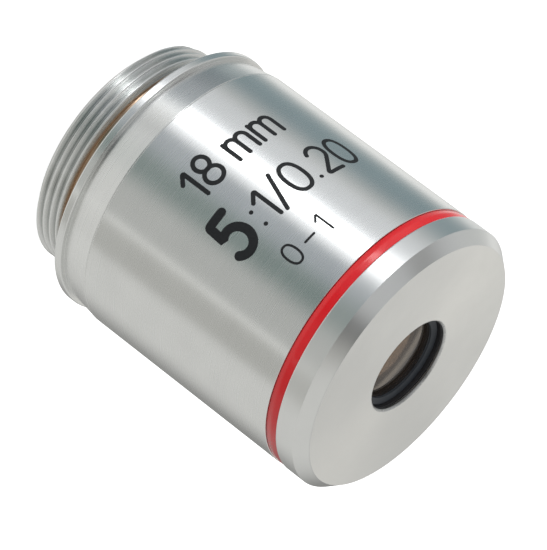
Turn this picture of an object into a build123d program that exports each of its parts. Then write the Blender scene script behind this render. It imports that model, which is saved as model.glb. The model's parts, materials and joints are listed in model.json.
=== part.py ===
# Low-power microscope objective, standing on its screw thread with the front face up.
# The optical axis is Z. The origin is the centre of the rear end face. Millimetres.
# Every piece is a turned part, so each profile is drawn as radius against height and revolved.
import os
from math import sqrt

from build123d import *

os.makedirs("parts", exist_ok=True)

# Outside of the objective; its 24 mm across follow from the aperture and the walls round it
shoulder_to_front = 26.9  # from the seating shoulder to the front face
collar_height = 0.7
flange_height = 2.73
flange_drop = 0.42  # how much smaller the flange is where it meets the collar
cap_height = 2.81
cap_bevel_height = 1.0
cap_bevel_width = 0.85
edge_break = 0.1  # small bevel that takes the sharpness off an edge

# Standard objective thread, 20.32 mm across with 0.706 mm pitch
thread_diameter = 20.32
thread_length = 4.5  # from the rear end face to the shoulder
undercut_depth = 0.71
undercut_width = 1.6
shoulder_relief_depth = 0.12  # cut into the shoulder, so that only its outer part seats
shoulder_relief_clearance = 0.15  # radial, from the thread to the seating face
thread_lead_height = 0.62
thread_lead_depth = 0.8
thread_wall = 1.45  # between the undercut and the rear bore
rear_bore_depth = 6.2

# Clearances
slip_fit = 0.03  # radial, between turned pieces that slide or screw together
seat_gap = 0.05  # axial, where two faces must not quite meet
lens_fit = 0.03  # radial, round each lens
cement_gap = 0.02  # between the two lenses of a doublet

# Sleeve and colour ring
sleeve_wall = 1.0
colour_ring_height = 1.08
colour_ring_recess = 0.09

# Front aperture
aperture_diameter = 8.2
aperture_bevel = 0.15
aperture_land = 0.35  # height of the aperture's edge, above the front cell's nose
cap_plate = 1.2

# Tube of the mount body and the barrel in it
tube_wall = 1.97
tube_to_plate = 0.1
shim_height = 0.3
shim_width = 0.9
barrel_wall = 1.5
barrel_ledge_height = 1.1
barrel_ledge_width = 1.2
barrel_lock_height = 1.0
barrel_lock_wall = 1.3

# Centring screws, three of them, with their groove round the barrel
screw_count = 3
screw_diameter = 1.6
screw_height = 17.2  # above the rear end face
screw_sink = 0.15
screw_tip_radius = 0.2
screw_socket_radius = 0.4
screw_socket_depth = 0.9
screw_groove_depth = 0.6

# Spanner slots of the threaded rings
slot_width = 1.0
slot_depth = 0.5

# Front cell and its lens
nose_wall = 0.85
nose_gap = 0.05
front_flange_height = 2.6
front_ring_sink = 0.35  # the ring's outer edge lies this far below the nose
front_ring_slope = 0.22
front_ring_height = 0.42
front_ring_width = 0.62
front_lens_curve = 19.0
front_lens_rear_curve = 34.0
front_lens_edge = 1.7
front_seat_width = 0.6
front_flange_wall = 1.94
cell_lock_height = 1.3
cell_lock_wall = 2.2
cell_lock_clearance = 0.26  # radial, round the nose
cell_shim_height = 0.3
cell_shim_width = 1.2

# Middle cell and its doublet
middle_cell_wall = 1.81
middle_cell_rim = 0.18  # above the retaining ring
middle_ledge_height = 0.9
middle_flint_edge = 2.0
middle_crown_edge = 1.1
middle_cement_curve = 16.0
middle_crown_curve = 22.0
middle_flint_curve = 60.0

# Aperture stop and spacer tube
stop_thickness = 0.5
stop_hole_diameter = 8.4
spacer_wall = 0.8
spacer_rib_count = 5
spacer_rib_depth = 0.25

# Rear cell and its doublet
rear_cell_wall = 1.41
rear_cell_rim = 0.88
rear_ledge_height = 0.9
rear_flint_edge = 2.2
rear_crown_edge = 1.2
rear_cement_curve = 17.0
rear_crown_curve = 24.0
rear_flint_curve = 45.0

# Cells share these
lens_seat_width = 0.5  # flat ground rim of each lens that its seat or ring bears on
retaining_ring_height = 0.8

# Rear baffle
baffle_sink = 0.6  # from the baffle to the inner ledge above it
baffle_height = 1.9
baffle_wall = 1.6
baffle_taper = 0.5

# Radii that follow, from the aperture outwards
aperture_radius = aperture_diameter / 2
nose_bore_radius = aperture_radius + slip_fit
nose_radius = nose_bore_radius + nose_wall
nose_clearance_radius = nose_radius + 3 * slip_fit
cell_lock_bore = nose_radius + cell_lock_clearance
cell_radius = cell_lock_bore + cell_lock_wall
barrel_bore_radius = cell_radius + slip_fit
barrel_radius = barrel_bore_radius + barrel_wall
tube_bore_radius = barrel_radius + slip_fit
tube_radius = tube_bore_radius + tube_wall
sleeve_bore_radius = tube_radius + slip_fit
body_radius = sleeve_bore_radius + sleeve_wall

# Radii that follow from the thread
thread_radius = thread_diameter / 2
undercut_radius = thread_radius - undercut_depth
rear_bore_radius = undercut_radius - thread_wall
shoulder_relief_radius = thread_radius + shoulder_relief_clearance

# Centring screws
screw_radius = screw_diameter / 2
screw_sides = [Vector(1, 0, 0).rotate(Axis.Z, 360 / screw_count * turn) for turn in range(screw_count)]
screw_lift = Vector(0, 0, screw_height)

# Heights that follow, from the rear end up to the barrel's ledge
shoulder_z = thread_length
collar_top_z = shoulder_z + collar_height
sleeve_bottom_z = collar_top_z + flange_height
shim_bottom_z = rear_bore_depth
barrel_bottom_z = shim_bottom_z + shim_height
rear_cell_bottom_z = barrel_bottom_z + barrel_ledge_height
rear_flint_bottom_z = rear_cell_bottom_z + rear_ledge_height
rear_cement_z = rear_flint_bottom_z + rear_flint_edge
rear_crown_bottom_z = rear_cement_z + cement_gap
rear_crown_top_z = rear_crown_bottom_z + rear_crown_edge
rear_ring_top_z = rear_crown_top_z + retaining_ring_height
rear_cell_top_z = rear_ring_top_z + rear_cell_rim

# Heights that follow, from the front face down to the aperture stop
front_z = shoulder_z + shoulder_to_front
cap_bottom_z = front_z - cap_height
sleeve_top_z = cap_bottom_z - colour_ring_height
plate_bottom_z = front_z - cap_plate
nose_top_z = front_z - aperture_land - nose_gap
tube_top_z = plate_bottom_z - tube_to_plate
barrel_top_z = tube_top_z - barrel_lock_height
front_flange_top_z = barrel_top_z - cell_lock_height
front_flange_bottom_z = front_flange_top_z - front_flange_height
middle_cell_top_z = front_flange_bottom_z - cell_shim_height
middle_ring_top_z = middle_cell_top_z - middle_cell_rim
middle_crown_top_z = middle_ring_top_z - retaining_ring_height
middle_crown_bottom_z = middle_crown_top_z - middle_crown_edge
middle_cement_z = middle_crown_bottom_z - cement_gap
middle_flint_bottom_z = middle_cement_z - middle_flint_edge
middle_cell_bottom_z = middle_flint_bottom_z - middle_ledge_height
stop_bottom_z = middle_cell_bottom_z - stop_thickness


def rise(curve_radius, reach):
    # height of a spherical surface at its centre over its rim
    return curve_radius - sqrt(curve_radius**2 - reach**2)


def turned(points):
    # a closed outline of (radius, height) points, revolved about the axis
    with BuildPart() as piece:
        with BuildSketch(Plane.XZ):
            with BuildLine():
                Polyline(*points, close=True)
            make_face()
        revolve(axis=Axis.Z)
    return piece


def slotted_ring(outer, inner, bottom, top):
    # a threaded ring, its thread as a plain cylinder, with two spanner slots across its top face
    with BuildPart() as ring:
        with BuildSketch(Plane.XY.offset(bottom)):
            Circle(outer)
            Circle(inner, mode=Mode.SUBTRACT)
        extrude(amount=top - bottom)
        with BuildSketch(Plane.XY.offset(top)):
            Rectangle(2.5 * outer, slot_width)
        extrude(amount=-slot_depth, mode=Mode.SUBTRACT)
    return ring


def lens(outer, bottom, top, bottom_rise, top_rise):
    # a round lens with flat ground rims at bottom and top, and spherical surfaces inside them
    clear = outer - lens_seat_width
    with BuildPart() as glass:
        with BuildSketch(Plane.XZ):
            with BuildLine():
                Line((0, bottom + bottom_rise), (0, top + top_rise))
                TangentArc((0, top + top_rise), (clear, top), tangent=(1, 0))
                Polyline((clear, top), (outer, top), (outer, bottom), (clear, bottom))
                TangentArc((0, bottom + bottom_rise), (clear, bottom), tangent=(1, 0))
            make_face()
        revolve(axis=Axis.Z)
    return glass


def cell(bottom, top, ledge_height, lens_radius):
    # a lens cell with a bore for the lens and its ring, above a ledge that the lens rests on
    bore = lens_radius + lens_fit
    opening = lens_radius - lens_seat_width
    ledge_top = bottom + ledge_height
    return turned([
        (cell_radius, bottom),
        (cell_radius, top),
        (bore, top),
        (bore, ledge_top),
        (opening, ledge_top),
        (opening, ledge_top - ledge_height / 2),
        (opening + ledge_height / 2, bottom),
    ])


# Mount body: thread, undercut, collar, tapered flange, and the tube inside the sleeve
flange_end_radius = body_radius - flange_drop
undercut_bottom_z = shoulder_z - undercut_width
with BuildPart() as mount_body:
    with BuildSketch(Plane.XZ):
        with BuildLine():
            Polyline(
                (rear_bore_radius, 0),
                (thread_radius - thread_lead_depth, 0),
                (thread_radius, thread_lead_height),
                (thread_radius, undercut_bottom_z),
                (undercut_radius, undercut_bottom_z),
                (undercut_radius, shoulder_z + shoulder_relief_depth),
                (shoulder_relief_radius, shoulder_z + shoulder_relief_depth),
                (shoulder_relief_radius, shoulder_z),
                (body_radius - edge_break, shoulder_z),
                (body_radius, shoulder_z + edge_break),
                (body_radius, collar_top_z - edge_break),
                (body_radius - edge_break, collar_top_z),
                (flange_end_radius, collar_top_z),
                (body_radius, sleeve_bottom_z),
                (tube_radius, sleeve_bottom_z),
                (tube_radius, tube_top_z),
                (tube_bore_radius, tube_top_z),
                (tube_bore_radius, rear_bore_depth),
                (rear_bore_radius, rear_bore_depth),
                close=True,
            )
        make_face()
    revolve(axis=Axis.Z)
    for side in screw_sides:
        with BuildSketch(Plane(origin=side * tube_radius + screw_lift, z_dir=side)):
            Circle(screw_radius + slip_fit)
        extrude(amount=-(tube_radius - tube_bore_radius) - screw_radius, mode=Mode.SUBTRACT)

# Centring screws: grub screws with a hexagon socket and a cone point in the barrel's groove
screw_tip_x = barrel_radius - screw_groove_depth + screw_tip_radius + 2 * slip_fit
screw_head_x = tube_radius - screw_sink
cone_height = screw_radius - screw_tip_radius
with BuildPart() as centring_screws:
    for side in screw_sides:
        head_plane = Plane(origin=side * screw_head_x + screw_lift, z_dir=side)
        cone_plane = Plane(origin=side * screw_tip_x + screw_lift, z_dir=side)
        with BuildSketch(head_plane):
            Circle(screw_radius)
        extrude(amount=-(screw_head_x - screw_tip_x - cone_height))
        with BuildSketch(cone_plane):
            Circle(screw_tip_radius)
        with BuildSketch(cone_plane.offset(cone_height)):
            Circle(screw_radius)
        loft()
        with BuildSketch(head_plane):
            RegularPolygon(screw_socket_radius, 6)
        extrude(amount=-screw_socket_depth, mode=Mode.SUBTRACT)

# Outer sleeve
outer_sleeve = turned([
    (sleeve_bore_radius, sleeve_bottom_z),
    (body_radius - edge_break, sleeve_bottom_z),
    (body_radius, sleeve_bottom_z + edge_break),
    (body_radius, sleeve_top_z - edge_break),
    (body_radius - edge_break, sleeve_top_z),
    (sleeve_bore_radius, sleeve_top_z),
])

# Colour ring, a little below the sleeve's surface, with a slightly rounded outside
colour_radius = body_radius - colour_ring_recess
with BuildPart() as colour_ring:
    with BuildSketch(Plane.XZ):
        with BuildLine():
            Polyline(
                (colour_radius - edge_break, cap_bottom_z),
                (sleeve_bore_radius, cap_bottom_z),
                (sleeve_bore_radius, sleeve_top_z),
                (colour_radius - edge_break, sleeve_top_z),
            )
            ThreePointArc(
                (colour_radius - edge_break, sleeve_top_z),
                (colour_radius, (sleeve_top_z + cap_bottom_z) / 2),
                (colour_radius - edge_break, cap_bottom_z),
            )
        make_face()
    revolve(axis=Axis.Z)

# Front cap: bevelled rim, front face with the aperture, and the bore that screws onto the tube
front_cap = turned([
    (sleeve_bore_radius, cap_bottom_z),
    (body_radius - edge_break, cap_bottom_z),
    (body_radius, cap_bottom_z + edge_break),
    (body_radius, front_z - cap_bevel_height),
    (body_radius - cap_bevel_width, front_z),
    (aperture_radius + aperture_bevel, front_z),
    (aperture_radius, front_z - aperture_bevel),
    (aperture_radius, front_z - aperture_land),
    (nose_clearance_radius, front_z - aperture_land),
    (nose_clearance_radius, plate_bottom_z),
    (sleeve_bore_radius, plate_bottom_z),
])

# Lens barrel, with a ledge at its foot and the V groove for the centring screws
with BuildPart() as lens_barrel:
    with BuildSketch(Plane.XZ):
        with BuildLine():
            Polyline(
                (barrel_bore_radius - barrel_ledge_width, barrel_bottom_z),
                (barrel_radius, barrel_bottom_z),
                (barrel_radius, screw_height - screw_groove_depth),
                (barrel_radius - screw_groove_depth, screw_height),
                (barrel_radius, screw_height + screw_groove_depth),
                (barrel_radius, barrel_top_z),
                (barrel_bore_radius, barrel_top_z),
                (barrel_bore_radius, rear_cell_bottom_z),
                (barrel_bore_radius - barrel_ledge_width, rear_cell_bottom_z),
                close=True,
            )
        make_face()
    revolve(axis=Axis.Z)

# Shim under the barrel, on the mount body's inner ledge
parfocal_shim = turned([
    (barrel_radius - shim_width, shim_bottom_z),
    (barrel_radius, shim_bottom_z),
    (barrel_radius, barrel_bottom_z),
    (barrel_radius - shim_width, barrel_bottom_z),
])

# Threaded rings that hold the barrel in the body and the cells in the barrel
barrel_lock_bore = barrel_radius - barrel_lock_wall
barrel_lock_ring = slotted_ring(barrel_radius, barrel_lock_bore, barrel_top_z, tube_top_z)
cell_lock_ring = slotted_ring(cell_radius, cell_lock_bore, front_flange_top_z, barrel_top_z)

# Front cell: flange in the barrel, and the nose that reaches up into the cap's aperture
front_ring_top_z = nose_top_z - front_ring_sink
front_lens_top_z = front_ring_top_z - front_ring_height
front_lens_bottom_z = front_lens_top_z - front_lens_edge
front_lens_radius = nose_bore_radius - lens_fit
front_opening_radius = front_lens_radius - front_seat_width
front_flange_bore_radius = cell_radius - front_flange_wall
front_cell = turned([
    (nose_bore_radius, nose_top_z),
    (nose_radius, nose_top_z),
    (nose_radius, front_flange_top_z),
    (cell_radius, front_flange_top_z),
    (cell_radius, front_flange_bottom_z),
    (front_flange_bore_radius, front_flange_bottom_z),
    (front_opening_radius, front_flange_top_z),
    (front_opening_radius, front_lens_bottom_z),
    (nose_bore_radius, front_lens_bottom_z),
])

front_lens = lens(
    front_lens_radius,
    front_lens_bottom_z,
    front_lens_top_z,
    rise(front_lens_rear_curve, front_lens_radius - lens_seat_width),
    rise(front_lens_curve, front_lens_radius - lens_seat_width),
)

# Ring over the front lens, its face sloping down towards the lens
front_retaining_ring = turned([
    (front_lens_radius, front_lens_top_z),
    (front_lens_radius, front_ring_top_z),
    (front_lens_radius - front_ring_width, front_ring_top_z - front_ring_slope),
    (front_lens_radius - front_ring_width, front_lens_top_z + seat_gap),
    (front_lens_radius - lens_seat_width, front_lens_top_z),
])

# Thin ring that sets the air gap between front and middle cell
cell_shim = turned([
    (cell_radius - cell_shim_width, middle_cell_top_z),
    (cell_radius, middle_cell_top_z),
    (cell_radius, front_flange_bottom_z),
    (cell_radius - cell_shim_width, front_flange_bottom_z),
])

# Middle cell with its cemented doublet, the flint below and the crown on top
middle_lens_radius = cell_radius - middle_cell_wall - lens_fit
middle_clear_radius = middle_lens_radius - lens_seat_width
middle_cement_rise = rise(middle_cement_curve, middle_clear_radius)
middle_cell = cell(middle_cell_bottom_z, middle_cell_top_z, middle_ledge_height, middle_lens_radius)
middle_doublet_flint = lens(
    middle_lens_radius,
    middle_flint_bottom_z,
    middle_cement_z,
    rise(middle_flint_curve, middle_clear_radius),
    -middle_cement_rise,
)
middle_doublet_crown = lens(
    middle_lens_radius,
    middle_crown_bottom_z,
    middle_crown_top_z,
    -middle_cement_rise,
    rise(middle_crown_curve, middle_clear_radius),
)
middle_retaining_ring = slotted_ring(
    middle_lens_radius,
    middle_clear_radius,
    middle_crown_top_z,
    middle_ring_top_z,
)

# Aperture stop, a thin disc under the middle cell
with BuildPart() as aperture_stop:
    with BuildSketch(Plane.XY.offset(stop_bottom_z)):
        Circle(cell_radius)
        Circle(stop_hole_diameter / 2, mode=Mode.SUBTRACT)
    extrude(amount=stop_thickness)

# Spacer tube between the rear cell and the stop, grooved inside against stray light
spacer_length = stop_bottom_z - rear_cell_top_z
rib_pitch = spacer_length / spacer_rib_count
spacer_bore_radius = cell_radius - spacer_wall
with BuildPart() as spacer_tube:
    with BuildSketch(Plane.XY.offset(rear_cell_top_z)):
        Circle(cell_radius)
        Circle(spacer_bore_radius, mode=Mode.SUBTRACT)
    extrude(amount=spacer_length)
    for rib in range(spacer_rib_count):
        groove_z = rear_cell_top_z + (rib + 0.25) * rib_pitch
        with BuildSketch(Plane.XY.offset(groove_z)):
            Circle(spacer_bore_radius + spacer_rib_depth)
        extrude(amount=rib_pitch / 2, mode=Mode.SUBTRACT)

# Rear cell with its cemented doublet
rear_lens_radius = cell_radius - rear_cell_wall - lens_fit
rear_clear_radius = rear_lens_radius - lens_seat_width
rear_cement_rise = rise(rear_cement_curve, rear_clear_radius)
rear_cell = cell(rear_cell_bottom_z, rear_cell_top_z, rear_ledge_height, rear_lens_radius)
rear_doublet_flint = lens(
    rear_lens_radius,
    rear_flint_bottom_z,
    rear_cement_z,
    rise(rear_flint_curve, rear_clear_radius),
    -rear_cement_rise,
)
rear_doublet_crown = lens(
    rear_lens_radius,
    rear_crown_bottom_z,
    rear_crown_top_z,
    -rear_cement_rise,
    rise(rear_crown_curve, rear_clear_radius),
)
rear_retaining_ring = slotted_ring(
    rear_lens_radius,
    rear_clear_radius,
    rear_crown_top_z,
    rear_ring_top_z,
)

# Rear baffle, screwed into the rear bore, with a bore that widens towards the rear
baffle_radius = rear_bore_radius - slip_fit
baffle_top_z = rear_bore_depth - baffle_sink
baffle_bottom_z = baffle_top_z - baffle_height
with BuildPart() as rear_baffle:
    with BuildSketch(Plane.XZ):
        with BuildLine():
            Polyline(
                (baffle_radius, baffle_bottom_z),
                (baffle_radius, baffle_top_z),
                (baffle_radius - baffle_wall, baffle_top_z),
                (baffle_radius - baffle_wall + baffle_taper, baffle_bottom_z),
                close=True,
            )
        make_face()
    revolve(axis=Axis.Z)
    with BuildSketch(Plane.XY.offset(baffle_bottom_z)):
        Rectangle(2.5 * baffle_radius, slot_width)
    extrude(amount=slot_depth, mode=Mode.SUBTRACT)

mount_body.part.label = "mount_body"
export_step(mount_body.part, "parts/mount_body.step")
outer_sleeve.part.label = "outer_sleeve"
export_step(outer_sleeve.part, "parts/outer_sleeve.step")
colour_ring.part.label = "colour_ring"
export_step(colour_ring.part, "parts/colour_ring.step")
front_cap.part.label = "front_cap"
export_step(front_cap.part, "parts/front_cap.step")
lens_barrel.part.label = "lens_barrel"
export_step(lens_barrel.part, "parts/lens_barrel.step")
parfocal_shim.part.label = "parfocal_shim"
export_step(parfocal_shim.part, "parts/parfocal_shim.step")
barrel_lock_ring.part.label = "barrel_lock_ring"
export_step(barrel_lock_ring.part, "parts/barrel_lock_ring.step")
cell_lock_ring.part.label = "cell_lock_ring"
export_step(cell_lock_ring.part, "parts/cell_lock_ring.step")
front_cell.part.label = "front_cell"
export_step(front_cell.part, "parts/front_cell.step")
front_lens.part.label = "front_lens"
export_step(front_lens.part, "parts/front_lens.step")
front_retaining_ring.part.label = "front_retaining_ring"
export_step(front_retaining_ring.part, "parts/front_retaining_ring.step")
cell_shim.part.label = "cell_shim"
export_step(cell_shim.part, "parts/cell_shim.step")
middle_cell.part.label = "middle_cell"
export_step(middle_cell.part, "parts/middle_cell.step")
middle_doublet_flint.part.label = "middle_doublet_flint"
export_step(middle_doublet_flint.part, "parts/middle_doublet_flint.step")
middle_doublet_crown.part.label = "middle_doublet_crown"
export_step(middle_doublet_crown.part, "parts/middle_doublet_crown.step")
middle_retaining_ring.part.label = "middle_retaining_ring"
export_step(middle_retaining_ring.part, "parts/middle_retaining_ring.step")
aperture_stop.part.label = "aperture_stop"
export_step(aperture_stop.part, "parts/aperture_stop.step")
spacer_tube.part.label = "spacer_tube"
export_step(spacer_tube.part, "parts/spacer_tube.step")
rear_cell.part.label = "rear_cell"
export_step(rear_cell.part, "parts/rear_cell.step")
rear_doublet_flint.part.label = "rear_doublet_flint"
export_step(rear_doublet_flint.part, "parts/rear_doublet_flint.step")
rear_doublet_crown.part.label = "rear_doublet_crown"
export_step(rear_doublet_crown.part, "parts/rear_doublet_crown.step")
rear_retaining_ring.part.label = "rear_retaining_ring"
export_step(rear_retaining_ring.part, "parts/rear_retaining_ring.step")
rear_baffle.part.label = "rear_baffle"
export_step(rear_baffle.part, "parts/rear_baffle.step")
centring_screws.part.label = "centring_screws"
export_step(centring_screws.part, "parts/centring_screws.step")
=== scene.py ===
import json
from math import cos, pi, radians, sin

import bpy
import numpy as np
from mathutils import Matrix, Vector


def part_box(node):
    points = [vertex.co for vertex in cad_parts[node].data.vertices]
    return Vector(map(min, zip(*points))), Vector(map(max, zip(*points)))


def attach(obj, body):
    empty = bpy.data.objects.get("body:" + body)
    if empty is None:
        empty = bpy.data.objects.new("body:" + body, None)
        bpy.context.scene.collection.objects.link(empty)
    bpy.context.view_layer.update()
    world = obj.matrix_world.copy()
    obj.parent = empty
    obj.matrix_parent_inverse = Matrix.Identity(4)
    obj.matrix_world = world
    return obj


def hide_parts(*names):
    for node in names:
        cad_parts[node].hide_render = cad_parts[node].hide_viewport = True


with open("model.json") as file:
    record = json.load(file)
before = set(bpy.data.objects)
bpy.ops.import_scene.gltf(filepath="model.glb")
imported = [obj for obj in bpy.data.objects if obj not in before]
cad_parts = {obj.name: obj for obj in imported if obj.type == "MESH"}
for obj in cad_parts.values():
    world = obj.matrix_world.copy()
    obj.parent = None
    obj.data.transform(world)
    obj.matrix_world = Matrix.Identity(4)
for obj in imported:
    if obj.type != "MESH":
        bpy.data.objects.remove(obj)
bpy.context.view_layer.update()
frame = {"nodes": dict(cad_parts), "record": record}
print("frame loaded:", len(frame["nodes"]), "CAD nodes")

mm = 0.001


# Shader maths: a wire is an output socket, and sums or products of wires add Math nodes.
class Wire:
    def __init__(self, finish, socket):
        self.finish = finish
        self.socket = socket

    def maths(self, operation, *others):
        inputs = {0: self}
        for place, other in enumerate(others, 1):
            inputs[place] = other
        return self.finish.add("ShaderNodeMath", {"operation": operation}, inputs)

    def swapped(self, operation, other):
        return self.finish.add("ShaderNodeMath", {"operation": operation}, {0: other, 1: self})

    def __add__(self, other):
        return self.maths("ADD", other)

    def __radd__(self, other):
        return self.maths("ADD", other)

    def __sub__(self, other):
        return self.maths("SUBTRACT", other)

    def __rsub__(self, other):
        return self.swapped("SUBTRACT", other)

    def __mul__(self, other):
        return self.maths("MULTIPLY", other)

    def __rmul__(self, other):
        return self.maths("MULTIPLY", other)

    def __truediv__(self, other):
        return self.maths("DIVIDE", other)

    def between(self, low, high):
        # 0 below low, 1 above high, and a smooth rise from one to the other
        return self.finish.add(
            "ShaderNodeMapRange",
            {"interpolation_type": "SMOOTHSTEP"},
            {"Value": self, "From Min": low, "From Max": high},
        )


# A material or the studio's light, as a node tree that is filled through one method.
class Finish:
    def __init__(self, owner):
        owner.use_nodes = True
        self.owner = owner
        self.tree = owner.node_tree
        self.tree.nodes.clear()

    def add(self, kind, settings=None, inputs=None, out=0):
        node = self.tree.nodes.new(kind)
        for name, value in (settings or {}).items():
            setattr(node, name, value)
        for name, value in (inputs or {}).items():
            if isinstance(value, Wire):
                self.tree.links.new(value.socket, node.inputs[name])
            else:
                node.inputs[name].default_value = value
        return Wire(self, node.outputs[out])

    def blend(self, factor, first, second):
        # a colour mix: first where the factor is 0, second where it is 1
        return self.add("ShaderNodeMix", {"data_type": "RGBA"}, {0: factor, 6: first, 7: second}, out=2)

    def close(self, shader, kind="ShaderNodeOutputMaterial"):
        node = self.tree.nodes.new(kind)
        self.tree.links.new(shader.socket, node.inputs["Surface"])
        return self.owner


def newFinish(name):
    return Finish(bpy.data.materials.new(name))


def colour(red, green, blue):
    return (red, green, blue, 1.0)


def pointInMm(finish):
    # Object coordinates in millimetres
    point = finish.add("ShaderNodeTexCoord", out=3)
    return finish.add("ShaderNodeVectorMath", {"operation": "SCALE"}, {0: point, "Scale": 1 / mm})


def turnedPlace(finish):
    # the point in millimetres, its distance from the axis, and its height
    point = pointInMm(finish)
    flat = finish.add("ShaderNodeVectorMath", {"operation": "MULTIPLY"}, {0: point, 1: (1, 1, 0)})
    radius = finish.add("ShaderNodeVectorMath", {"operation": "LENGTH"}, {0: flat}, out=1)
    height = finish.add("ShaderNodeSeparateXYZ", None, {0: point}, out=2)
    return point, radius, height


def speckle(finish, point, scale, detail):
    # smooth noise about 0.5, with scale cells to a millimetre
    return finish.add("ShaderNodeTexNoise", None, {"Vector": point, "Scale": scale, "Detail": detail})


def turningMarks(finish, point, radius, height, fine, drift):
    # Fine rings left by the tool: noise that changes fast along the outline and slowly round the axis.
    # radius - slant height changes along every face of the part, its bevels too.
    slant = 0.73
    slow = finish.add("ShaderNodeVectorMath", {"operation": "MULTIPLY"}, {0: point, 1: (drift, drift, 0)})
    across = (radius - height * slant) * fine
    upright = finish.add("ShaderNodeCombineXYZ", None, {"Z": across})
    drawn = finish.add("ShaderNodeVectorMath", {"operation": "ADD"}, {0: slow, 1: upright})
    return finish.add(
        "ShaderNodeTexNoise",
        None,
        {"Vector": drawn, "Scale": 1.0, "Detail": 3.0, "Roughness": 0.6},
    )


platedLook = dict(
    tint=(0.80, 0.805, 0.795),
    roughness=0.27,
    roughnessSpread=0.06,
    anisotropy=0.72,
    marksPerMm=9.0,
    marksDrift=0.12,
    marksHeight=0.0012,
    cloudiness=0.05,  # how much darker the clouds in the plating are
    cloudsPerMm=0.35,
)


def platedMetal(name, **changes):
    # Satin plating with turning marks, and a shade function for what is different in places
    look = {**platedLook, **changes}
    finish = newFinish(name)
    point, radius, height = turnedPlace(finish)
    marks = turningMarks(finish, point, radius, height, look["marksPerMm"], look["marksDrift"])
    clouds = speckle(finish, point, look["cloudsPerMm"], 4.0)
    dull = tuple(part * (1 - 2 * look["cloudiness"]) for part in look["tint"])
    base = finish.blend(clouds, colour(*dull), colour(*look["tint"]))
    if "shade" in look:
        base = look["shade"](finish, base, point, radius, height)
    rough = look["roughness"] + (marks - 0.5) * look["roughnessSpread"]
    bump = finish.add(
        "ShaderNodeBump",
        None,
        {"Strength": 0.5, "Distance": look["marksHeight"] * mm, "Height": marks},
    )
    return finish.close(finish.add("ShaderNodeBsdfPrincipled", None, {
        "Base Color": base,
        "Metallic": 1.0,
        "Roughness": rough,
        "Anisotropic": look["anisotropy"],
        "Anisotropic Rotation": 0.25,
        "Normal": bump,
    }))


# Each pair is where a change of colour starts and ends, in millimetres.
threadLook = dict(
    grooveStart=(2.86, 2.96),
    grooveEnd=(4.52, 4.60),
    brassRadius=(9.62, 10.05),
    darkBrass=(0.34, 0.24, 0.17),
    paleBrass=(0.72, 0.55, 0.40),
    stainPerMm=37.5,
    # painted shade in grey in the thread's valleys: where it lies, its grey and how strong it is
    valleyRadius=(9.74, 10.02),
    valleyFloor=(9.0, 9.3),
    valleyShade=(0.36, 0.38, 0.37),
    valleyShadeStrength=0.55,
)


def threadShade(finish, base, point, radius, height):
    # Bare brass in the undercut, and painted shade in grey in the valleys of the thread
    t = threadLook
    pastThread = height.between(*t["grooveStart"])
    brass = pastThread * (1 - height.between(*t["grooveEnd"])) * (1 - radius.between(*t["brassRadius"]))
    # painted shade at the roots of the thread
    valley = (1 - pastThread) * (1 - radius.between(*t["valleyRadius"])) * radius.between(*t["valleyFloor"])
    stain = speckle(finish, point, t["stainPerMm"], 3.0)
    brown = finish.blend(stain, colour(*t["darkBrass"]), colour(*t["paleBrass"]))
    shadedValleys = finish.blend(valley * t["valleyShadeStrength"], base, colour(*t["valleyShade"]))
    return finish.blend(brass, shadedValleys, brown)


faceLook = dict(
    # painted shade in grey round the aperture's edge: where it lies, how uneven its outer edge is, its grey
    # and how strong it is
    apertureShadeRadius=(4.06, 4.34),
    apertureShadeUnevenness=0.6,
    apertureShade=(0.20, 0.205, 0.21),
    apertureShadeStrength=0.8,
    stainPerMm=10.0,
    # a darker stretch on the +X side of the front face: where it rises along X and in height, its colour
    # and how strong it is
    darkerSide=(-1.5, 4.5),  # along X
    darkerHeight=(31.3, 31.38),
    dull=(0.62, 0.625, 0.62),
    darkerStrength=0.5,
)


def faceShade(finish, base, point, radius, height):
    # Painted shade in grey on the aperture's edge, and a darker stretch on the +X side of the front face
    f = faceLook
    stain = speckle(finish, point, f["stainPerMm"], 3.0)
    # painted shade round the aperture, with an uneven outer edge
    apertureShadeStart, apertureShadeEnd = f["apertureShadeRadius"]
    rim = 1 - radius.between(apertureShadeStart, apertureShadeEnd + (stain - 0.5) * f["apertureShadeUnevenness"])
    # darker towards +X on the front face
    side = finish.add("ShaderNodeSeparateXYZ", None, {0: point}, out=0)
    stretch = side.between(*f["darkerSide"]) * height.between(*f["darkerHeight"]) * f["darkerStrength"]
    darkened = finish.blend(stretch, base, colour(*f["dull"]))
    return finish.blend(rim * f["apertureShadeStrength"], darkened, colour(*f["apertureShade"]))


def blackMetal(name, tint=(0.018, 0.018, 0.020), roughness=0.42):
    # Matt black with turning marks and slightly paler worn patches
    finish = newFinish(name)
    point, radius, height = turnedPlace(finish)
    marks = turningMarks(finish, point, radius, height, fine=7.0, drift=0.2)
    wear = speckle(finish, point, 3.0, 4.0)
    paler = 1.9
    worn = tuple(part * paler for part in tint)
    bump = finish.add("ShaderNodeBump", None, {"Strength": 0.4, "Distance": 0.003 * mm, "Height": marks})
    return finish.close(finish.add("ShaderNodeBsdfPrincipled", None, {
        "Base Color": finish.blend(wear, colour(*tint), colour(*worn)),
        "Metallic": 0.25,
        "Roughness": roughness + (marks - 0.5) * 0.18,
        "Normal": bump,
    }))


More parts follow.
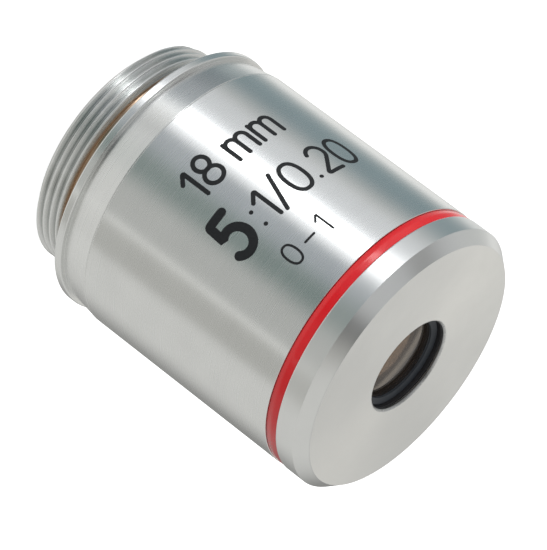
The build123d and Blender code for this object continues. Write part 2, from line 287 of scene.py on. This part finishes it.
def bareMetal(name, tint, roughness):
    # Turned metal without plating
    finish = newFinish(name)
    point, radius, height = turnedPlace(finish)
    marks = turningMarks(finish, point, radius, height, fine=8.0, drift=0.2)
    darker = 0.82
    dull = tuple(part * darker for part in tint)
    bump = finish.add("ShaderNodeBump", None, {"Strength": 0.4, "Distance": 0.002 * mm, "Height": marks})
    return finish.close(finish.add("ShaderNodeBsdfPrincipled", None, {
        "Base Color": finish.blend(marks, colour(*dull), colour(*tint)),
        "Metallic": 1.0,
        "Roughness": roughness + (marks - 0.5) * 0.15,
        "Normal": bump,
    }))


lacquerLook = dict(
    deepRed=(0.66, 0.003, 0.008),
    paleRed=(0.74, 0.005, 0.012),
    # a darker red painted on the ring's edges, as painted shade
    edgeRed=(0.40, 0.003, 0.006),
    edgeRadius=(11.70, 11.88),  # below this the lacquer is the darker red of the edges
)


def redLacquer(name):
    # Glossy lacquer with a faint unevenness, and painted shade in a darker red at the ring's edges
    look = lacquerLook
    finish = newFinish(name)
    point, radius = turnedPlace(finish)[:2]
    peel = speckle(finish, point, 2.2, 2.0)
    # painted shade: darker red below the crown, at the ring's edges
    outside = radius.between(*look["edgeRadius"])
    red = finish.blend(peel, colour(*look["deepRed"]), colour(*look["paleRed"]))
    bump = finish.add("ShaderNodeBump", None, {"Strength": 0.3, "Distance": 0.004 * mm, "Height": peel})
    return finish.close(finish.add("ShaderNodeBsdfPrincipled", None, {
        "Base Color": finish.blend(outside, colour(*look["edgeRed"]), red),
        "Roughness": 0.22 + peel * 0.06,
        "Specular IOR Level": 0.3,
        "Coat Weight": 0.6,
        "Coat Roughness": 0.06,
        "Normal": bump,
    }))


def inkBlack(name):
    # The figures' matt black paint
    finish = newFinish(name)
    grain = speckle(finish, pointInMm(finish), 6.0, 3.0)
    return finish.close(finish.add("ShaderNodeBsdfPrincipled", None, {
        "Base Color": finish.blend(grain, colour(0.006, 0.007, 0.008), colour(0.018, 0.020, 0.022)),
        "Roughness": 0.42 + grain * 0.15,
        "Specular IOR Level": 0.25,
    }))


def opticalGlass(name, tint, coating):
    # Polished glass whose surface carries a coloured coating
    finish = newFinish(name)
    film = speckle(finish, pointInMm(finish), 0.5, 2.0)
    return finish.close(finish.add("ShaderNodeBsdfPrincipled", None, {
        "Base Color": finish.blend(film * 0.5, colour(*tint), colour(*coating)),
        "Roughness": 0.015 + film * 0.01,
        "IOR": 1.55,
        "Specular IOR Level": 0.05,
        "Transmission Weight": 0.95,
        "Specular Tint": colour(*coating),
    }))


# Shapes: every piece is turned, so each is an outline of radius and height carried round the axis.
outlineSteps = 5  # segments in each rounded corner


def roundedOutline(corners, closed=True):
    # Each corner is (radius, height, rounding). It becomes an arc that touches both of its sides. The arc's
    # centre lies on the bisector at rounding / sin(half angle). One more point just outside each end of the
    # arc keeps the flat sides flat in the shading.
    guardShare = 0.3  # of the rounding
    data = np.array(corners, float)
    corner, rounding = data[:, :2], data[:, 2]
    toPrevious = np.roll(corner, 1, 0) - corner
    toNext = np.roll(corner, -1, 0) - corner
    toPrevious /= np.linalg.norm(toPrevious, axis=1, keepdims=True)
    toNext /= np.linalg.norm(toNext, axis=1, keepdims=True)
    half = np.arccos(np.clip((toPrevious * toNext).sum(1), -1, 1)) / 2
    reach = rounding / np.tan(half)
    bisector = toPrevious + toNext
    bisector /= np.linalg.norm(bisector, axis=1, keepdims=True)
    centre = corner + bisector * (rounding / np.sin(half))[:, None]
    start = corner + toPrevious * reach[:, None]
    end = corner + toNext * reach[:, None]
    startSpoke = start - centre
    cross = startSpoke[:, 0] * (end - centre)[:, 1] - startSpoke[:, 1] * (end - centre)[:, 0]
    sweep = (pi - 2 * half) * np.sign(cross)
    angle = sweep[:, None] * np.linspace(0, 1, outlineSteps + 1)[None, :]
    turnedX = startSpoke[:, 0, None] * np.cos(angle) - startSpoke[:, 1, None] * np.sin(angle)
    turnedY = startSpoke[:, 0, None] * np.sin(angle) + startSpoke[:, 1, None] * np.cos(angle)
    arc = np.stack([turnedX, turnedY], -1) + centre[:, None, :]
    guard = (guardShare * rounding)[:, None]
    before = (start + toPrevious * guard)[:, None, :]
    after = (end + toNext * guard)[:, None, :]
    rows = np.concatenate([before, arc, after], 1)
    if not closed:  # the first and last corners are the line's ends, and stay as they are
        return np.concatenate([corner[:1], *rows[1:-1], corner[-1:]])
    return rows.reshape(-1, 2)


def turn(name, outline, around=256, carve=None):
    # point(angle, step) = (radius(step) cos angle, radius(step) sin angle, height(step)). carve may change
    # the radius by angle and height. An outline that starts and ends on the axis gets a pole at each end.
    onAxis = 1e-6
    radius, height = outline[:, 0], outline[:, 1]
    area = np.sum(radius * np.roll(height, -1) - np.roll(radius, -1) * height)
    poles = radius[0] < onAxis and radius[-1] < onAxis
    if area < 0:  # the outline runs so that the faces point outwards
        radius, height = radius[::-1], height[::-1]
    angle = np.arange(around) * 2 * pi / around
    inner = slice(1, -1) if poles else slice(None)
    count = len(height[inner])
    grid = np.broadcast_to(radius[inner][None, :], (around, count))
    tall = np.broadcast_to(height[inner][None, :], (around, count))
    if carve is not None:
        grid = carve(angle[:, None], grid, tall)
    east, north = grid * np.cos(angle)[:, None], grid * np.sin(angle)[:, None]
    points = np.stack([east, north, tall], -1).reshape(-1, 3)
    column = np.arange(around)[:, None] * count
    nextColumn = (np.arange(around)[:, None] + 1) % around * count
    step = np.arange(count - 1 if poles else count)[None, :]
    nextStep = (step + 1) % count
    quads = np.stack([column + step, nextColumn + step, nextColumn + nextStep, column + nextStep], -1)
    faces = quads.reshape(-1, 4).tolist()
    if poles:
        first, last = len(points), len(points) + 1
        points = np.concatenate([points, [[0, 0, height[0]], [0, 0, height[-1]]]])
        ends = np.arange(around) * count
        following = (np.arange(around) + 1) % around * count
        faces += np.stack([np.full(around, first), following, ends], -1).tolist()
        faces += np.stack([np.full(around, last), ends + count - 1, following + count - 1], -1).tolist()
    mesh = bpy.data.meshes.new(name)
    mesh.from_pydata((points * mm).tolist(), [], faces)
    mesh.shade_smooth()
    piece = bpy.data.objects.new(name, mesh)
    bpy.context.scene.collection.objects.link(piece)
    return piece


def place(piece, material, slot, *nodes):
    # gives a finished piece its material and body, and hides the CAD nodes that it stands for; the slot is
    # not used
    piece.data.materials.append(material)
    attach(piece, "root")
    if nodes:
        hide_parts(*nodes)
    return piece


def span(node):
    # lowest and highest height of a CAD node, and its outer radius, in millimetres
    low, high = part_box(node)
    return low.z / mm, high.z / mm, high.x / mm


# Levels that come from the frame
rearEnd, tubeTop, bodyRadius = span("mount_body")
sleeveBottom, sleeveTop, sleeveRadius = span("outer_sleeve")
capBottom, frontFace, capRadius = span("front_cap")

# Mount body with its screw thread. Lengths are in millimetres here and in every piece below.
body = dict(
    threadRadius=10.16,
    pitch=0.7056,
    threadDepth=0.45,
    rowsPerPitch=20,
    threadStart=0.05,
    threadEnd=2.9,
    threadRunOut=0.07,
    leadHeight=0.62,
    leadDepth=0.8,
    undercutRadius=9.45,
    boreRadius=8.0,
    boreDepth=6.2,
    tubeBoreRadius=9.0,
    shoulder=4.5,
    reliefDepth=0.12,
    reliefRadius=10.31,
    collarTop=5.2,
    collarEdge=0.12,
    flangeFoot=11.58,
    tubeRadius=10.97,
    edge=0.06,
    boreEdge=0.15,
    around=384,
)


def threadGroove(angle, radius, height):
    # Where a point lies on the thread's cylinder or lead, it goes no further out than the thread's form,
    # a right-hand helix with rounded crests: root + depth (1 + cos(2 pi height / pitch - angle)) / 2.
    margin = 0.02
    wave = np.cos(2 * pi * height / body["pitch"] - angle)
    form = body["threadRadius"] - body["threadDepth"] * (0.5 - 0.5 * wave)
    below = height < body["threadEnd"] + body["threadRunOut"] + margin / 2
    onThread = below & (radius > body["undercutRadius"] - margin)
    return np.where(onThread, np.minimum(radius, form), radius)


def makeBody():
    b = body
    rows = int((b["threadEnd"] - b["threadStart"]) / b["pitch"] * b["rowsPerPitch"])
    threadHeight = np.linspace(b["threadStart"], b["threadEnd"], rows)
    leadRadius = b["threadRadius"] - b["leadDepth"] * (1 - threadHeight / b["leadHeight"])
    threadRadius = np.minimum(b["threadRadius"], leadRadius)
    thread = np.stack([threadRadius, threadHeight], -1)
    rearRadius = b["threadRadius"] - b["leadDepth"]
    e = b["edge"]
    corners = [
        (b["undercutRadius"], b["threadEnd"] + b["threadRunOut"], 0.03),
        (b["undercutRadius"], b["shoulder"] + b["reliefDepth"], 0.04),
        (b["reliefRadius"], b["shoulder"] + b["reliefDepth"], 0.03),
        (b["reliefRadius"], b["shoulder"], 0.03),
        (bodyRadius, b["shoulder"], b["collarEdge"]),
        (bodyRadius, b["collarTop"], b["collarEdge"]),
        (b["flangeFoot"], b["collarTop"], 0.03),
        (bodyRadius, sleeveBottom, e),
        (b["tubeRadius"], sleeveBottom, 0.03),
        (b["tubeRadius"], tubeTop, e),
        (b["tubeBoreRadius"], tubeTop, e),
        (b["tubeBoreRadius"], b["boreDepth"], e),
        (b["boreRadius"], b["boreDepth"], e),
        (b["boreRadius"], rearEnd, b["boreEdge"]),
        (rearRadius, rearEnd, 0.05),
        (b["threadRadius"], b["threadEnd"], 0.02),
    ]
    perCorner = outlineSteps + 3
    rearEdge = (len(corners) - 2) * perCorner + perCorner // 2 + 1
    keep = roundedOutline(corners)[:rearEdge]  # up to the rear end face, where the thread starts
    lastRearPoint = np.array([[rearRadius - 0.02, rearEnd]])
    outline = np.concatenate([keep, lastRearPoint, thread])
    piece = turn("mount_body_skin", outline, around=b["around"], carve=threadGroove)
    return place(piece, platedMetal("platedBody", shade=threadShade), "plated_brass", "mount_body")


# Brushed sleeve
sleeve = dict(
    boreRadius=11.0,
    skinGap=0.008,  # the sleeve stays this far inside its solid, which leaves room for the paint
    edge=0.05,
)


def makeSleeve():
    outer = sleeveRadius - sleeve["skinGap"]
    piece = turn("outer_sleeve_skin", roundedOutline([
        (sleeve["boreRadius"], sleeveBottom, 0.03),
        (outer, sleeveBottom, sleeve["edge"]),
        (outer, sleeveTop, sleeve["edge"]),
        (sleeve["boreRadius"], sleeveTop, 0.03),
    ]))
    return place(piece, platedMetal("brushedSleeve"), "brushed_sleeve", "outer_sleeve")


# Lacquered ring with a low crown
ring = dict(
    recess=0.04,  # of the crown, below the sleeve
    boreRadius=11.0,
    edgeDrop=0.09,  # of the edges, below the crown
    edge=0.08,
    crown=0.8,
)


def makeColourRing():
    outer = sleeveRadius - ring["recess"]
    low, high = sleeveTop, capBottom
    middle = (low + high) / 2
    piece = turn("colour_ring_skin", roundedOutline([
        (ring["boreRadius"], low, 0.03),
        (outer - ring["edgeDrop"], low, ring["edge"]),
        (outer, middle, ring["crown"]),
        (outer - ring["edgeDrop"], high, ring["edge"]),
        (ring["boreRadius"], high, 0.03),
    ]))
    return place(piece, redLacquer("redLacquer"), "red_lacquer", "colour_ring")


# Front cap with its bevelled rim and the aperture
cap = dict(
    boreRadius=11.0,
    rearEdge=0.10,
    bevelHeight=1.0,
    bevelWidth=0.85,
    bevelEdge=0.04,
    plateBottom=30.2,
    apertureRadius=4.1,
    apertureBevel=0.15,
    apertureLand=0.35,
    nosePocket=5.07,
    edge=0.03,
)


def makeCap():
    c = cap
    land = frontFace - c["apertureLand"]
    piece = turn("front_cap_skin", roundedOutline([
        (c["boreRadius"], capBottom, c["edge"]),
        (capRadius, capBottom, c["rearEdge"]),
        (capRadius, frontFace - c["bevelHeight"], c["bevelEdge"]),
        (capRadius - c["bevelWidth"], frontFace, c["bevelEdge"]),
        (c["apertureRadius"] + c["apertureBevel"], frontFace, c["edge"]),
        (c["apertureRadius"], frontFace - c["apertureBevel"], c["edge"]),
        (c["apertureRadius"], land, 0.02),
        (c["nosePocket"], land, c["edge"]),
        (c["nosePocket"], c["plateBottom"], c["edge"]),
        (c["boreRadius"], c["plateBottom"], 0.05),
    ]))
    look = platedMetal("satinCap", roughness=0.34, anisotropy=0.55, marksPerMm=5.0, marksHeight=0.0025,
                       shade=faceShade)
    return place(piece, look, "satin_cap", "front_cap")


# Front lens, seen through the aperture
frontLens = dict(
    radius=4.1,
    bottom=28.53,
    rim=30.23,
    curve=19.0,
    rearCurve=34.0,
    seat=0.5,  # flat ground rim that the cell and the ring bear on
    bevel=0.08,
    steps=25,
)


def sag(curve, reach):
    # how far a sphere of radius curve falls away at a distance reach from its pole
    return curve - np.sqrt(curve**2 - reach**2)


def lensOutline(lens):
    # Two spherical surfaces between flat rims: height = rim + sag(curve, clear radius) - sag(curve, radius)
    outer, bottom, top, bevel = lens["radius"], lens["bottom"], lens["rim"], lens["bevel"]
    clear = outer - lens["seat"]
    reach = np.sin(np.linspace(0, pi / 2, lens["steps"])) * clear
    upper = np.stack([reach, top + sag(lens["curve"], clear) - sag(lens["curve"], reach)], -1)
    lower = np.stack([reach, bottom + sag(lens["rearCurve"], clear) - sag(lens["rearCurve"], reach)], -1)
    rim = np.array([
        (outer - bevel, bottom), (outer, bottom + bevel), (outer, top - bevel), (outer - bevel, top),
    ])
    return np.concatenate([lower, rim, upper[::-1]])


def makeFrontLens():
    piece = turn("front_lens_glass", lensOutline(frontLens))
    look = opticalGlass("coatedFrontLens", tint=(0.16, 0.10, 0.065), coating=(0.85, 0.66, 0.52))
    return place(piece, look, "coated_glass", "front_lens")


# Black cell that holds the front lens, with its nose in the aperture
frontCell = dict(
    noseTop=31.0,  # just behind the front face
    noseRadius=4.98,
    noseBore=4.13,
    flangeTop=27.8,
    flangeBottom=25.2,
    flangeRadius=7.44,
    flangeBore=5.5,
    openingRadius=3.5,
    edge=0.05,
)


def makeFrontCell():
    c = frontCell
    piece = turn("front_cell_skin", roundedOutline([
        (c["noseBore"], c["noseTop"], 0.08),
        (c["noseRadius"], c["noseTop"], 0.06),
        (c["noseRadius"], c["flangeTop"], c["edge"]),
        (c["flangeRadius"], c["flangeTop"], c["edge"]),
        (c["flangeRadius"], c["flangeBottom"], c["edge"]),
        (c["flangeBore"], c["flangeBottom"], c["edge"]),
        (c["openingRadius"], c["flangeTop"], c["edge"]),
        (c["openingRadius"], frontLens["bottom"], 0.03),
        (c["noseBore"], frontLens["bottom"], 0.03),
    ]))
    return place(piece, blackMetal("blackCell"), "black_anodised", "front_cell")


# Black ring with a sloping face that holds the front lens in its cell
frontRing = dict(
    top=30.65,
    slope=0.22,
    width=0.50,
    seatGap=0.05,
)


def makeFrontRing():
    outer, rim = frontLens["radius"], frontLens["rim"]
    inner = outer - frontRing["width"]
    piece = turn("front_retaining_ring_skin", roundedOutline([
        (outer, rim, 0.02),
        (outer, frontRing["top"], 0.03),
        (inner, frontRing["top"] - frontRing["slope"], 0.03),
        (inner, rim + frontRing["seatGap"], 0.02),
        (outer - frontLens["seat"], rim, 0.01),
    ]))
    look = blackMetal("blackRing", tint=(0.018, 0.022, 0.028), roughness=0.36)
    return place(piece, look, "blackened_brass", "front_retaining_ring")


# Painted figures on the sleeve: plain numbers and a unit, as strokes of thick paint with round ends.
# Start angles are counted in degrees from the side that faces the camera, and the figures read towards
# smaller angles. Gaps and blanks are shares of a figure's height.
figures = dict(
    paintHeight=0.006,
    paintDepth=0.03,
    gap=0.17,
    blank=0.30,
    lines=[
        dict(name="figures_distance", text="18 mm", tall=2.8, stroke=0.38, start=-3.0, foot=14.5, gap=0.22),
        dict(name="figures_power", text="5", tall=3.9, stroke=0.78, start=6.0, foot=20.3),
        dict(name="figures_aperture", text=":1/0.20", tall=3.0, stroke=0.36, start=-9.5, foot=20.2),
        dict(name="figures_cover", text="0-1", tall=1.9, stroke=0.20, start=-4.5, foot=24.2, gap=0.42),
    ],
)


def bow(x, y, wide, tall, start, end, steps=28):
    # points on an ellipse between two angles in degrees
    angle = np.radians(np.linspace(start, end, steps))
    return np.stack([x + wide * np.cos(angle), y + tall * np.sin(angle)], -1)


def oval(x, y, wide, tall, power=1.0, steps=48):
    # a closed oval, with flatter sides for a power under 1: x + wide |c|^power and y + tall |v|^power, with
    # the signs of the cosine c and the sine v
    angle = np.arange(steps) * 2 * pi / steps
    c, v = np.cos(angle), np.sin(angle)
    across, along = np.sign(c) * np.abs(c) ** power, np.sign(v) * np.abs(v) ** power
    return np.stack([x + wide * across, y + tall * along], -1)


def straight(*points):
    # a line from point to point
    return np.array(points, float)


def bent(*corners):
    # a line of straight runs with rounded corners, each given as (x, y, rounding)
    return roundedOutline(corners, closed=False)


def figureStrokes(figure):
    # the strokes of a figure one unit tall, each with whether it closes on itself, and the figure's width
    if figure == "0":
        return [(oval(0.285, 0.5, 0.285, 0.5, 0.85), True)], 0.57
    if figure == "1":
        return [(bent((0.0, 0.74, 0), (0.26, 1.0, 0.03), (0.26, 0.0, 0)), False)], 0.28
    if figure == "2":
        crown = bow(0.285, 0.715, 0.265, 0.285, 160, -38)
        foot = bent((*crown[-1], 0), (0.02, 0.0, 0.04), (0.56, 0.0, 0))
        return [(np.concatenate([crown, foot[1:]]), False)], 0.56
    if figure == "5":
        bowl = bow(0.275, 0.325, 0.285, 0.325, 128, -142, 36)
        top = bent((0.52, 1.0, 0), (0.13, 1.0, 0.04), (*bowl[0], 0))
        return [(np.concatenate([top[:-1], bowl]), False)], 0.56
    if figure == "8":
        return [(oval(0.28, 0.75, 0.225, 0.25), True), (oval(0.28, 0.25, 0.28, 0.265), True)], 0.56
    if figure == "m":
        first = np.concatenate([bow(0.19, 0.50, 0.19, 0.20, 180, 0), straight((0.38, 0.25), (0.38, 0.0))])
        return [
            (straight((0, 0), (0, 0.35), (0, 0.70)), False),
            (first, False),
            (first + (0.38, 0), False),
        ], 0.76
    if figure == "/":
        return [(straight((0, -0.04), (0.20, 0.5), (0.40, 1.04)), False)], 0.40
    if figure == "-":
        return [(straight((0, 0.42), (0.26, 0.42), (0.52, 0.42)), False)], 0.52
    dots = {":": (0.10, 0.62), ".": (0.05,)}[figure]
    return [(straight((0.05, y), (0.052, y)), False) for y in dots], 0.10


def finer(path, step=0.12):
    # more points along the long runs, so that a stroke follows the sleeve's curve
    tooClose = 1e-4
    length = np.concatenate([[0], np.cumsum(np.linalg.norm(np.diff(path, axis=0), axis=1))])
    places = np.union1d(length, np.linspace(0, length[-1], int(length[-1] / step) + 2))
    places = places[np.concatenate([[True], np.diff(places) > tooClose])]
    return np.stack([np.interp(places, length, path[:, 0]), np.interp(places, length, path[:, 1])], -1)


def paintStroke(path, closed, half):
    # A band carried along the path: each point of the path gives its left edge, middle and right edge, at
    # point + (-1, 0 or 1) half normal, and the same three under the surface. An open path gets round ends,
    # where the band at end + half sin(a) is half cos(a) wide to each side.
    endSteps, lastAngle = 7, 86
    tangent = np.roll(path, -1, 0) - np.roll(path, 1, 0)
    if not closed:
        tangent[0], tangent[-1] = path[1] - path[0], path[-1] - path[-2]
    tangent /= np.linalg.norm(tangent, axis=1, keepdims=True)
    width = np.full(len(path), half)
    if not closed:
        a = np.radians(np.linspace(0, lastAngle, endSteps + 1)[1:])
        tail = path[-1] + tangent[-1] * half * np.sin(a)[:, None]
        head = (path[0] - tangent[0] * half * np.sin(a)[:, None])[::-1]
        path = np.concatenate([head, path, tail])
        first, last = np.tile(tangent[0], (endSteps, 1)), np.tile(tangent[-1], (endSteps, 1))
        tangent = np.concatenate([first, tangent, last])
        width = np.concatenate([half * np.cos(a)[::-1], width, half * np.cos(a)])
    normal = np.stack([-tangent[:, 1], tangent[:, 0]], -1) * width[:, None]
    across = np.array([-1, 0, 1, 1, 0, -1])
    flat = path[:, None, :] + normal[:, None, :] * across[None, :, None]
    lift = np.broadcast_to(np.array([1, 1, 1, 0, 0, 0]), flat.shape[:2])
    points = np.concatenate([flat, lift[..., None]], -1).reshape(-1, 3)
    rows, sides = flat.shape[:2]
    row = np.arange(rows if closed else rows - 1)[:, None] * sides
    nextRow = (row + sides) % (rows * sides)
    side = np.arange(sides)[None, :]
    nextSide = (side + 1) % sides
    quads = np.stack([row + side, row + nextSide, nextRow + nextSide, nextRow + side], -1)
    faces = quads.reshape(-1, 4).tolist()
    if not closed:
        faces += [list(range(sides))[::-1], [(rows - 1) * sides + k for k in range(sides)]]
    return points, faces


def makeFigures(line, paint):
    # Flat strokes (x, y) go onto the sleeve at angle = start - x / radius and height = foot - y, so their
    # tops point to the rear. lift is 1 on the paint's face and 0 under the sleeve's surface.
    face = sleeveRadius - sleeve["skinGap"] + figures["paintHeight"]
    pen = 0.0
    allPoints, allFaces, count = [], [], 0
    for figure in line["text"]:
        if figure == " ":
            pen += figures["blank"] * line["tall"]
            continue
        strokes, wide = figureStrokes(figure)
        for path, closed in strokes:
            path = path * line["tall"]
            points, faces = paintStroke(path if closed else finer(path), closed, line["stroke"] / 2)
            points[:, 0] += pen
            allPoints.append(points)
            allFaces += [[index + count for index in f] for f in faces]
            count += len(points)
        pen += (wide + line.get("gap", figures["gap"])) * line["tall"]
    x, y, lift = np.concatenate(allPoints).T
    radius = face - figures["paintDepth"] * (1 - lift)
    angle = radians(line["start"]) - x / face
    bentPoints = np.stack([radius * np.sin(angle), -radius * np.cos(angle), line["foot"] - y], -1) * mm
    mesh = bpy.data.meshes.new(line["name"])
    mesh.from_pydata(bentPoints.tolist(), [], allFaces)
    piece = bpy.data.objects.new(line["name"], mesh)
    bpy.context.scene.collection.objects.link(piece)
    return place(piece, paint, "black_anodised")


def dressInnerNodes():
    # every CAD node that shows as it is, by its slot in the record
    finishes = {
        "black_anodised": blackMetal("blackInside"),
        "blackened_brass": blackMetal("blackenedBrass", tint=(0.03, 0.028, 0.026), roughness=0.38),
        "bare_brass": bareMetal("bareBrass", tint=(0.74, 0.56, 0.29), roughness=0.30),
        "screw_steel": bareMetal("screwSteel", tint=(0.36, 0.36, 0.37), roughness=0.28),
        "lens_glass": opticalGlass("clearGlass", tint=(0.96, 0.98, 0.97), coating=(0.80, 0.88, 0.84)),
        "coated_glass": opticalGlass("coatedGlass", tint=(0.93, 0.86, 0.84), coating=(0.62, 0.40, 0.62)),
    }
    for part in frame["record"]["subparts"]:
        node = frame["nodes"][part["node"]]
        if node.hide_render:
            continue
        node.data.materials.clear()
        node.data.materials.append(finishes[part["material_slot"]])


# Camera at the photograph's viewing angle. Pixels are those of a picture of 547 by 550.
camera = dict(
    focalPixels=4200.0,
    imageWidth=547.0,
    imageHeight=550.0,
    principalX=279.40,
    principalY=250.22,
    elevation=25.15,
    roll=127.02,
    aimRight=0.83411,  # of the front face's centre from the line of sight, in body radii
    aimDown=0.74749,
    distance=27.03266,
    fitRadius=12.0,  # the body radius that these three are multiples of
)


def makeCamera():
    c = camera
    tilt, lean = radians(c["elevation"]), radians(c["roll"])
    back = Vector((0, -cos(tilt), sin(tilt)))
    level, upright = Vector((1, 0, 0)), Vector((0, sin(tilt), cos(tilt)))
    right = level * cos(lean) + upright * sin(lean)
    up = upright * cos(lean) - level * sin(lean)
    unit = c["fitRadius"] * mm
    target = Vector((0, 0, frontFace * mm))
    data = bpy.data.cameras.new("camera")
    data.sensor_width = 36.0
    data.lens = c["focalPixels"] * data.sensor_width / c["imageHeight"]
    data.shift_x = (c["imageWidth"] / 2 - c["principalX"]) / c["imageHeight"]
    data.shift_y = (c["principalY"] - c["imageHeight"] / 2) / c["imageHeight"]
    data.clip_start, data.clip_end = 0.01, 20.0
    seat = bpy.data.objects.new("camera", data)
    seat.location = target - (right * c["aimRight"] - up * c["aimDown"] - back * c["distance"]) * unit
    seat.rotation_euler = Matrix((right, up, back)).transposed().to_euler()
    bpy.context.scene.collection.objects.link(seat)
    bpy.context.scene.camera = seat


# Studio: soft panels of light all round. Each stands at an azimuth from the camera's side of the object,
# towards +X, and an elevation, in degrees. Later panels lie over earlier ones.
studio = dict(
    ambient=(0.70, 0.70, 0.68),
    backdrop=1.0,  # what the camera sees past the floor
    softLight=0.78,  # what dull surfaces are lit by
    softSide=0.67,  # how much brighter it is on the highlight's side, and darker on the other
    softTowards=(-0.98, -0.17, 0.0),
    panels=[
        # round the sides, where the sleeve mirrors them
        dict(azimuth=-162, elevation=-20, width=38, height=44, edge=16, light=(1.02, 1.02, 1.0)),
        dict(azimuth=-118, elevation=-16, width=42, height=44, edge=30, light=(0.22, 0.30, 0.325)),
        dict(azimuth=-92, elevation=-44, width=62, height=20, edge=16, light=(0.09, 0.13, 0.16)),
        dict(azimuth=47, elevation=-58, width=150, height=32, edge=10, light=(0.92, 0.92, 0.90)),
        dict(azimuth=-64, elevation=-15, width=44, height=40, edge=16, light=(0.84, 0.86, 0.88)),
        dict(azimuth=-46, elevation=-15, width=34, height=38, edge=12, light=(1.15, 1.17, 1.21)),
        dict(azimuth=-49, elevation=-13, width=9, height=32, edge=8, light=(6.0, 6.1, 6.2)),
        dict(azimuth=6, elevation=-15, width=79, height=40, edge=4, light=(0.44, 0.45, 0.435)),
        dict(azimuth=-21, elevation=-15, width=25, height=40, edge=4, light=(0.35, 0.39, 0.43)),
        dict(azimuth=0, elevation=-15, width=24, height=40, edge=20, light=(0.08, 0.15, 0.14)),
        dict(azimuth=63, elevation=-15, width=26, height=40, edge=5, light=(0.44, 0.44, 0.415)),
        dict(azimuth=47, elevation=-15, width=3.6, height=40, edge=3, light=(0.95, 0.95, 0.92)),
        dict(azimuth=164, elevation=-13, width=52, height=38, edge=42, light=(0.16, 0.16, 0.155)),
        # above, where the bevel mirrors them
        dict(azimuth=-62, elevation=42, width=130, height=44, edge=16, light=(0.54, 0.55, 0.56)),
        dict(azimuth=-84, elevation=42, width=26, height=40, edge=16, light=(0.22, 0.22, 0.215)),
        dict(azimuth=24, elevation=56, width=36, height=44, edge=24, light=(0.32, 0.315, 0.295)),
        dict(azimuth=4, elevation=58, width=28, height=44, edge=8, light=(0.0, 0.0, 0.005)),
        # behind, where the front face mirrors it
        dict(azimuth=180, elevation=30, width=96, height=44, edge=20, light=(0.655, 0.655, 0.64)),
        dict(azimuth=180, elevation=21, width=26, height=5, edge=4, light=(1.2, 1.15, 1.05)),
    ],
)


def makeStudio():
    world = bpy.data.worlds.new("studio")
    bpy.context.scene.world = world
    light = Finish(world)
    direction = light.add("ShaderNodeTexCoord")
    east = light.add("ShaderNodeSeparateXYZ", None, {0: direction}, out=0)
    north = light.add("ShaderNodeSeparateXYZ", None, {0: direction}, out=1)
    rise = light.add("ShaderNodeSeparateXYZ", None, {0: direction}, out=2)
    degree = 180 / pi
    azimuth = east.maths("ARCTAN2", north * -1.0) * degree
    elevation = rise.maths("ARCSINE") * degree
    shade = light.add("ShaderNodeRGB")
    shade.socket.default_value = colour(*studio["ambient"])
    for panel in studio["panels"]:
        sideways = (azimuth - panel["azimuth"]).maths("WRAP", 180.0, -180.0).maths("ABSOLUTE")
        upwards = (elevation - panel["elevation"]).maths("ABSOLUTE")
        edge = panel["edge"] / 2
        halfWidth, halfHeight = panel["width"] / 2, panel["height"] / 2
        inWidth = 1 - sideways.between(halfWidth - edge, halfWidth + edge)
        inHeight = 1 - upwards.between(halfHeight - edge, halfHeight + edge)
        shade = light.blend(inWidth * inHeight, shade, colour(*panel["light"]))
    # dull surfaces are lit by a plain gradient, and the camera sees a plain backdrop
    facing = light.add(
        "ShaderNodeVectorMath",
        {"operation": "DOT_PRODUCT"},
        {0: direction, 1: studio["softTowards"]},
        out=1,
    )
    strength = (facing * studio["softSide"] + 1) * studio["softLight"]
    soft = light.add("ShaderNodeCombineXYZ", None, {0: strength, 1: strength, 2: strength})
    shade = light.blend(light.add("ShaderNodeLightPath", out=2), shade, soft)
    plain = colour(*[studio["backdrop"]] * 3)
    shown = light.blend(light.add("ShaderNodeLightPath", out=0), shade, plain)
    light.close(light.add("ShaderNodeBackground", None, {"Color": shown}), "ShaderNodeOutputWorld")


# Pale floor that only the camera sees, and only from above
ground = dict(
    reach=4000.0,
    gap=0.01,  # below the part
    glow=0.75,
)


def makeFloor():
    corners = np.array([(-1, -1, 0), (1, -1, 0), (1, 1, 0), (-1, 1, 0)]) * ground["reach"]
    points = (corners - (0, 0, ground["gap"])) * mm
    mesh = bpy.data.meshes.new("floor")
    mesh.from_pydata(points.tolist(), [], [(0, 1, 2, 3)])
    floor = bpy.data.objects.new("floor", mesh)
    bpy.context.scene.collection.objects.link(floor)
    finish = newFinish("paleFloor")
    grain = speckle(finish, pointInMm(finish), 0.005, 2.0)
    paint = finish.blend(grain, colour(0.90, 0.90, 0.90), colour(0.93, 0.93, 0.93))
    mesh.materials.append(finish.close(finish.add("ShaderNodeBsdfPrincipled", None, {
        "Base Color": paint,
        "Roughness": 0.9,
        "Specular IOR Level": 0.0,
        "Emission Color": colour(1, 1, 1),
        "Emission Strength": ground["glow"],
        "Alpha": 1 - finish.add("ShaderNodeNewGeometry", out=6),  # clear from below, to show the rear
    })))
    floor.visible_glossy = False
    floor.visible_diffuse = False
    floor.visible_transmission = False
    floor.visible_shadow = False


makeCamera()
makeStudio()
makeFloor()
print("camera, studio and floor made")
makeBody()
makeSleeve()
makeColourRing()
makeCap()
print("outside made")
makeFrontCell()
makeFrontRing()
makeFrontLens()
print("front optics made")
paint = inkBlack("blackPaint")
for line in figures["lines"]:
    makeFigures(line, paint)
print("figures painted")
dressInnerNodes()
print("inner nodes dressed")

bpy.context.scene.view_settings.view_transform = "Standard"
